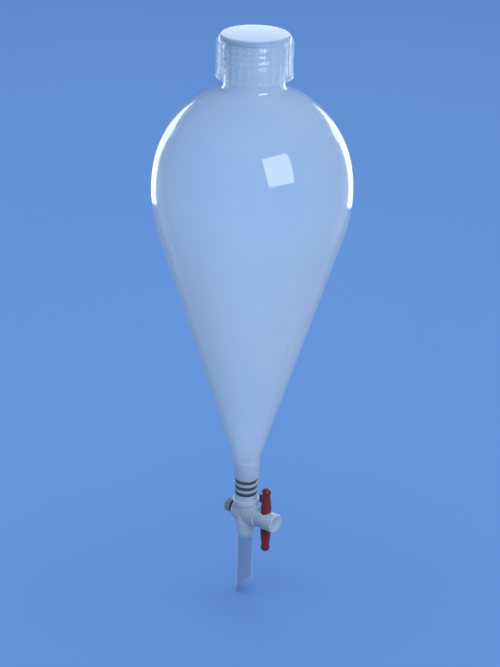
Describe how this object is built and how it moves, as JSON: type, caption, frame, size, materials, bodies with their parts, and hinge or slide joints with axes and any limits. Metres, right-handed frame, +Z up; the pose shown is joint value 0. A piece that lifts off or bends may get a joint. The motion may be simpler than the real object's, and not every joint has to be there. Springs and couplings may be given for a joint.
{
  "type": "separatory funnel",
  "caption": "Pear-shaped plastic separatory funnel with a threaded neck and screw cap, a plug-in stopcock with a bar handle, and a push-on stem with a slanted tip.",
  "frame": {"origin": "on the funnel's axis, level with the circle where the cone rests in its support ring", "axes": "+Z up along the funnel's axis towards the cap; +X along the stopcock plug towards the head and handle"},
  "size_m": [0.1468, 0.1468, 0.4546],
  "materials": {
    "milky_fluoropolymer": "smooth, translucent",
    "cap_plastic": "smooth, translucent",
    "liner_foam": "matt",
    "stopcock_white": "satin",
    "plug_white": "waxy satin",
    "handle_red": "satin",
    "seal_black": "matt"
  },
  "bodies": {
    "vessel": {"funnel_body": "milky_fluoropolymer", "stopcock_body": "stopcock_white", "inlet_o_ring_1": "seal_black", "inlet_o_ring_2": "seal_black", "inlet_o_ring_3": "seal_black", "stem_tube": "milky_fluoropolymer"},
    "liner": {"cap_liner": "liner_foam"},
    "cap": {"screw_cap": "cap_plastic"},
    "plug": {"stopcock_plug": "plug_white", "handle": "handle_red"},
    "tension_stack": {"plug_washer": "plug_white", "tension_o_ring": "seal_black"},
    "nut": {"retaining_nut": "stopcock_white"}
  },
  "joints": [
    {"name": "cap_rise", "type": "slide", "parent": "vessel", "child": "liner", "axis": [0, 0, 1], "range_m": [0, 0.0297]},
    {"name": "cap_turn", "type": "hinge", "parent": "liner", "child": "cap", "pos_m": [0, 0, 0.19], "axis": [0, 0, 1], "range_deg": [0, 2520]},
    {"name": "stopcock_turn", "type": "hinge", "parent": "vessel", "child": "plug", "pos_m": [0, 0, -0.1788], "axis": [1, 0, 0], "continuous": true},
    {"name": "tension_slide", "type": "slide", "parent": "plug", "child": "tension_stack", "axis": [-1, 0, 0], "range_m": [0, 0.00375]},
    {"name": "nut_turn", "type": "hinge", "parent": "tension_stack", "child": "nut", "pos_m": [-0.0125, 0, -0.1788], "axis": [-1, 0, 0], "range_deg": [0, 900]}
  ],
  "couplings": [
    {"joint": "cap_rise", "follows": "cap_turn", "m_per_rad": 0.00067323},
    {"joint": "nut_turn", "follows": "tension_slide", "rad_per_m": 4188.8}
  ]
}
